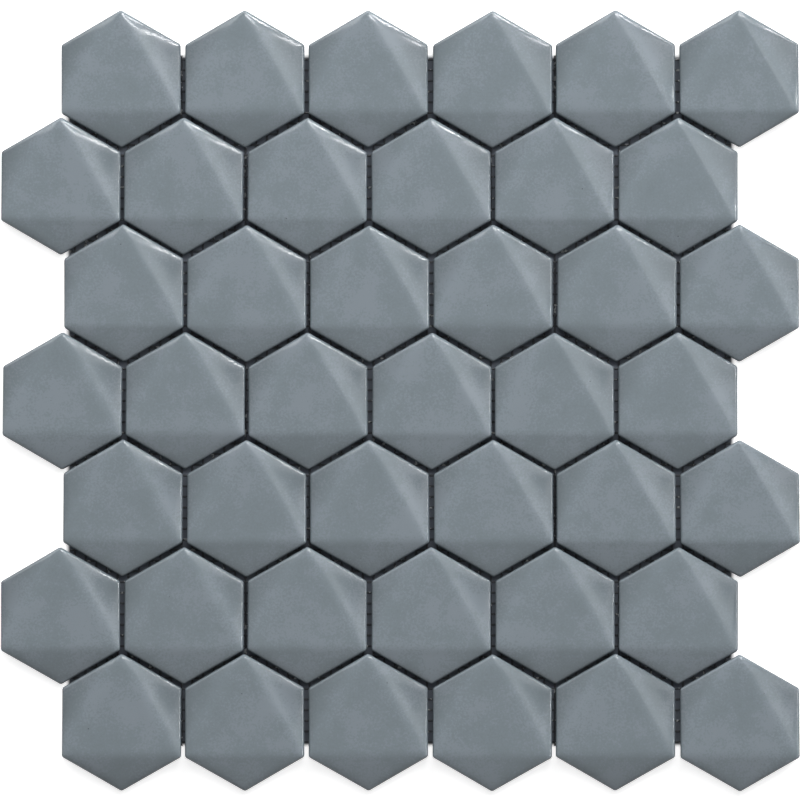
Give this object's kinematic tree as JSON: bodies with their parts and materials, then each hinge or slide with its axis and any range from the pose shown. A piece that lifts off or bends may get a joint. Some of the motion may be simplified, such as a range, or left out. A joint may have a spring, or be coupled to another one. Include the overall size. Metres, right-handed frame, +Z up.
{
  "type": "hexagon porcelain mosaic sheet",
  "caption": "Flat sheet of glazed porcelain hexagons with faceted relief, set in staggered rows on an open backing net for bedding on a wall or floor.",
  "frame": {"origin": "under the middle of the sheet's outline, on the surface that the net lies on", "axes": "+X across the sheet along the rows of tiles, +Y towards the first row, +Z up out of the glazed face"},
  "size_m": [0.2994, 0.2926, 0.0074],
  "materials": {
    "glazed_porcelain": "gloss",
    "net_yarn": "matte"
  },
  "bodies": {
    "root": {"tile_r1_c1": "glazed_porcelain", "tile_r1_c2": "glazed_porcelain", "tile_r1_c3": "glazed_porcelain", "tile_r1_c4": "glazed_porcelain", "tile_r1_c5": "glazed_porcelain", "tile_r1_c6": "glazed_porcelain", "tile_r2_c1": "glazed_porcelain", "tile_r2_c2": "glazed_porcelain", "tile_r2_c3": "glazed_porcelain", "tile_r2_c4": "glazed_porcelain", "tile_r2_c5": "glazed_porcelain", "tile_r2_c6": "glazed_porcelain", "tile_r3_c1": "glazed_porcelain", "tile_r3_c2": "glazed_porcelain", "tile_r3_c3": "glazed_porcelain", "tile_r3_c4": "glazed_porcelain", "tile_r3_c5": "glazed_porcelain", "tile_r3_c6": "glazed_porcelain", "tile_r4_c1": "glazed_porcelain", "tile_r4_c2": "glazed_porcelain", "tile_r4_c3": "glazed_porcelain", "tile_r4_c4": "glazed_porcelain", "tile_r4_c5": "glazed_porcelain", "tile_r4_c6": "glazed_porcelain", "tile_r5_c1": "glazed_porcelain", "tile_r5_c2": "glazed_porcelain", "tile_r5_c3": "glazed_porcelain", "tile_r5_c4": "glazed_porcelain", "tile_r5_c5": "glazed_porcelain", "tile_r5_c6": "glazed_porcelain", "tile_r6_c1": "glazed_porcelain", "tile_r6_c2": "glazed_porcelain", "tile_r6_c3": "glazed_porcelain", "tile_r6_c4": "glazed_porcelain", "tile_r6_c5": "glazed_porcelain", "tile_r6_c6": "glazed_porcelain", "tile_r7_c1": "glazed_porcelain", "tile_r7_c2": "glazed_porcelain", "tile_r7_c3": "glazed_porcelain", "tile_r7_c4": "glazed_porcelain", "tile_r7_c5": "glazed_porcelain", "tile_r7_c6": "glazed_porcelain", "net_lengthwise_yarns": "net_yarn", "net_crosswise_yarns": "net_yarn"}
  },
  "joints": []
}
